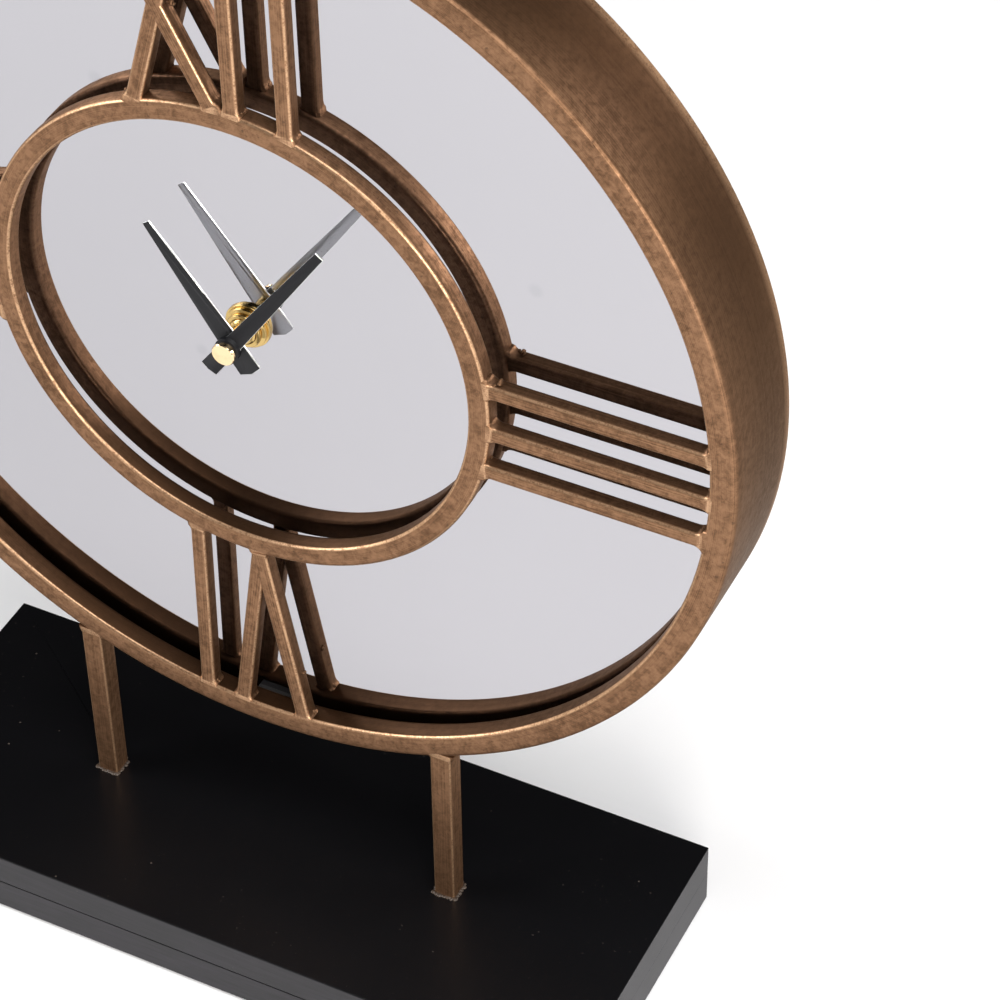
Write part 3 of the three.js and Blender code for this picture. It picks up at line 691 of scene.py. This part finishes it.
def mirror_finish():
    finish = Finish("silvered_glass", Metallic=1.0)
    haze = finish.noise(16, 3)
    smear = finish.noise(60, 3, distortion=1.0)
    dust = finish.band(finish.noise(1300, 1, 0.4), 0.80, 0.84)
    tone = finish.tint(haze, (0.468, 0.461, 0.486, 1), (0.482, 0.475, 0.500, 1))
    spots = None
    for x, z, radius in ((-42.0, 70.0, 3.2), (-16.0, -15.0, 2.8), (88.0, 43.0, 3.0)):
        ends = {0: finish.place, 1: (x * MM, GLASS_FRONT * MM, (DIAL_HEIGHT + z) * MM)}
        away = finish.node("ShaderNodeVectorMath", {"operation": "DISTANCE"}, ends, "Value")
        spot = 1 - finish.band(away, radius * 0.25 * MM, radius * MM)
        spots = spot if spots is None else spots + spot
    tone = finish.tint((spots * 0.20 + dust * 0.08).held(), tone, (0.30, 0.30, 0.33, 1))
    finish.feed("Base Color", tone)
    finish.feed("Roughness", (0.012 + smear * 0.012 + spots * 0.05).held())
    return finish.material


def mirror_piece():
    outline = [(SHAFT_HOLE, GLASS_FRONT, 0), (GLASS_RADIUS - 0.5, GLASS_FRONT, 0),
               (GLASS_RADIUS, GLASS_FRONT + 0.5, 0), (GLASS_RADIUS, GLASS_BACK, 0),
               (SHAFT_HOLE, GLASS_BACK, 0)]
    bm = spun(outline, 240)
    return place_piece(bm, "mirror_glass", ["mirror"], mirror_finish(), smooth=20)


mirror_piece()


def hardboard_finish():
    finish = Finish("hardboard", Metallic=0.0)
    fibres = finish.noise(700, 6, 0.7, distortion=1.5)
    cloud = finish.noise(14, 4)
    base = finish.tint(fibres, (0.16, 0.095, 0.052, 1), (0.40, 0.27, 0.165, 1))
    finish.feed("Base Color", finish.tint(cloud * 0.5, base, (0.22, 0.14, 0.08, 1)))
    finish.feed("Roughness", 0.62 + fibres * 0.3)
    finish.bump(fibres, 0.0002, 0.6)
    return finish.material


def backing_piece():
    outline = [(SHAFT_HOLE, GLASS_BACK, 0.2), (GLASS_RADIUS, GLASS_BACK, 0.2),
               (GLASS_RADIUS, BOARD_BACK, 0.3), (SHAFT_HOLE, BOARD_BACK, 0.3)]
    bm = spun(outline, 192, 2)
    board = hardboard_finish()
    return place_piece(bm, "backing_disc", ["backing_board"], board, smooth=25)


backing_piece()


def rubber_finish():
    finish = Finish("soft_rubber", Metallic=0.0)
    skin = finish.noise(1100, 4)
    finish.feed("Base Color", finish.tint(skin, (0.012, 0.012, 0.012, 1), (0.035, 0.034, 0.033, 1)))
    finish.feed("Roughness", 0.7 + skin * 0.2)
    finish.bump(skin, 0.0001, 0.5)
    return finish.material


rubber = rubber_finish()
for number in range(1, 4):
    refined(f"mirror_spacer_{number}", 0.2, rubber)
    refined(f"retaining_clip_{number}", 0.2, steel)


# ---------------------------------------------------------------- Bush, washer and nut
# The movement is pulled against the backing by a turned brass nut on its
# threaded bush, with a brass washer on the glass and a rubber one behind.
def brass_finish(name, bright, dull):
    finish = Finish(name, Metallic=1.0)
    cloud = finish.noise(160, 4)
    tarnish = finish.band(cloud, 0.45, 0.8)
    finish.feed("Base Color", finish.tint(tarnish * 0.6, bright, dull))
    finish.feed("Roughness", (0.17 + tarnish * 0.2).held())
    finish.bump(cloud, 0.00004, 0.3)
    return finish.material


brass = brass_finish("turned_brass", (0.60, 0.42, 0.16, 1), (0.34, 0.22, 0.08, 1))
pale_brass = brass_finish("pale_brass", (0.93, 0.70, 0.42, 1), (0.66, 0.45, 0.24, 1))


def turned_piece(name, node, outline, rounding, body="clock_body", metal=brass):
    bm = spun([(r, y, rounding) for r, y in outline], 96, 3)
    return place_piece(bm, name, [node], metal, body, smooth=30)


turned_piece("washer_disc", "brass_washer", [(4.1, 4.7), (7, 4.7), (7, 5.5), (4.1, 5.5)], 0.15)
nut = [(4.05, 4.7), (4.05, 2.0), (5.2, 2.0), (5.4, 2.4), (5.4, 3.0), (5.0, 3.15), (5.0, 3.3),
       (6.4, 3.5), (6.4, 4.7)]
turned_piece("nut_turned", "round_nut", nut, 0.07)
threads = [(2.7, 13.8), (2.7, 1.2), (3.5, 1.2)]
for turn in range(4):
    threads += [(4.0, 1.6 + turn * 0.75), (3.62, 1.6 + turn * 0.75 + 0.375)]
turned_piece("bush_threaded", "threaded_bush", threads + [(4.0, 4.7), (4.0, 13.8)], 0)
refined("rubber_washer", 0.15, rubber)


# ---------------------------------------------------------------- Hands
# Both hands are stamped from thin aluminium, painted satin black in front and
# left bare on the back and on the sheared edges. A brass cap nut holds them.
def hand_paint():
    finish = Finish("satin_black", Metallic=0.0, Specular_IOR_Level=0.22)
    grain = finish.noise(1800, 3)
    finish.feed("Base Color", finish.tint(grain, (0.003, 0.003, 0.004, 1), (0.009, 0.009, 0.011, 1)))
    finish.feed("Roughness", 0.42 + grain * 0.15)
    finish.bump(grain, 0.00003, 0.4)
    return finish.material


def hand_metal():
    finish = Finish("bare_aluminium", Metallic=1.0)
    lines = finish.noise(1, 3, vector=finish.stretched(finish.place, (2200, 300, 2600)))
    finish.feed("Base Color", finish.tint(lines, (0.90, 0.93, 0.90, 1), (0.98, 1.0, 0.98, 1)))
    finish.feed("Roughness", 0.22 + lines * 0.18)
    finish.bump(lines, 0.00004, 0.4)
    return finish.material


black_paint, bare_metal = hand_paint(), hand_metal()


def hand_piece(node, body, hub_radius):
    piece = refined(node, 0.06, black_paint, body, segments=1, angle=50)
    piece.data.materials.append(bare_metal)
    piece.modifiers[0].material = -1
    for face in piece.data.polygons:
        radius, y = polar(face.center)
        on_hub = radius < hub_radius + 0.2 and y < -5.55
        face.material_index = 0 if face.normal.y < -0.9 or on_hub else 1
    return piece


hand_piece("hour_hand", "hour", 0)
hand_piece("minute_hand", "minute", 3.75)
cap = [(0, -9.2), (3.3, -9.2), (3.5, -8.95), (3.5, -8.2), (3.3, -8.0), (2.8, -7.9), (2.8, -7.0),
       (1.32, -7.0), (1.32, -8.2), (0, -8.2)]
turned_piece("cap_turned", "cap_nut", cap, 0, "minute", pale_brass)


# ---------------------------------------------------------------- Movement case
# The quartz movement is a moulded two-part case with the cell's bay left open
# at the back and a ribbed knob on the motion work for setting the hands.
def moulded_finish(name, dark, light, roughness):
    finish = Finish(name, Metallic=0.0)
    texture = finish.noise(1700, 3)
    cloud = finish.noise(40, 3)
    finish.feed("Base Color", finish.tint(texture * 0.5 + cloud * 0.5, dark, light))
    finish.feed("Roughness", roughness + texture * 0.18)
    finish.bump(texture, 0.00008, 0.5)
    return finish.material


case_black = moulded_finish("case_plastic", (0.010, 0.010, 0.011, 1), (0.022, 0.022, 0.024, 1), 0.38)
acetal = moulded_finish("acetal", (0.60, 0.59, 0.54, 1), (0.80, 0.79, 0.74, 1), 0.36)
refined("movement_case", 0.35, case_black)
refined("movement_cover", 0.35, case_black, segments=3)
refined("setting_knob", 0.15, acetal, "motion_work")

# ---------------------------------------------------------------- Cell
# A plain dry cell in a printed sleeve, with a pip at one end, between two
# sprung strips. It lifts straight out at the back.
cell_low, cell_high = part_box("battery")


def cell_finish():
    finish = Finish("cell_sleeve", Metallic=0.35)
    split = finish.node("ShaderNodeSeparateXYZ", inputs={"Vector": finish.place})
    copper_end = split > 0.0145
    ink = finish.tint(copper_end, (0.02, 0.16, 0.09, 1), (0.55, 0.30, 0.12, 1))
    scuff = finish.band(finish.noise(500, 4), 0.62, 0.72)
    finish.feed("Base Color", finish.tint(scuff * 0.3, ink, (0.5, 0.5, 0.5, 1)))
    finish.feed("Roughness", 0.24 + scuff * 0.3)
    return finish.material


def cell_piece():
    low, high = Vector(cell_low), Vector(cell_high)
    centre = (low + high) / 2
    start, end = low.x, high.x
    profile = [(0, start), (0.0060, start), (0.0066, start + 0.0002), (0.0070, start + 0.0006),
               (0.0070, end - 0.0016), (0.0066, end - 0.0011), (0.0028, end - 0.0010), (0.0026, end),
               (0, end)]
    bm = bmesh.new()
    verts = [bm.verts.new((x, centre.y + r, centre.z)) for r, x in profile]
    edges = [bm.edges.new(pair) for pair in zip(verts, verts[1:])]
    bmesh.ops.spin(bm, geom=verts + edges, cent=(0, centre.y, centre.z), axis=(1, 0, 0), angle=math.tau,
                   steps=64, use_merge=True)
    bmesh.ops.remove_doubles(bm, verts=bm.verts, dist=1e-6)
    bmesh.ops.recalc_face_normals(bm, faces=bm.faces)
    piece = place_piece(bm, "cell", ["battery"], cell_finish(), "battery")
    piece.data.materials.append(steel)
    for face in piece.data.polygons:
        along = face.center.x
        face.material_index = 1 if along < start + 0.0005 or along > end - 0.0014 else 0
    return piece


cell_piece()

# ---------------------------------------------------------------- Train and drive
# Inside the case: acetal wheels, brass motion work, a laminated stator with
# its copper coil, the circuit board and the two contact strips.
circuit = moulded_finish("solder_mask", (0.012, 0.09, 0.035, 1), (0.03, 0.16, 0.07, 1), 0.35)
enamel = moulded_finish("enamelled_wire", (0.30, 0.10, 0.04, 1), (0.55, 0.22, 0.10, 1), 0.3)
INSIDE = {
    "rotor": acetal, "intermediate_wheel": acetal, "second_wheel": acetal, "third_wheel": acetal,
    "motion_work_wheel": acetal, "centre_wheel": brass, "hour_wheel": brass, "minute_arbor": brass,
    "stator": steel, "positive_contact": steel, "negative_contact": steel, "coil": enamel,
    "circuit_board": circuit,
}
for node, material in INSIDE.items():
    source = bpy.data.objects[node]
    source.data.materials.clear()
    source.data.materials.append(material)
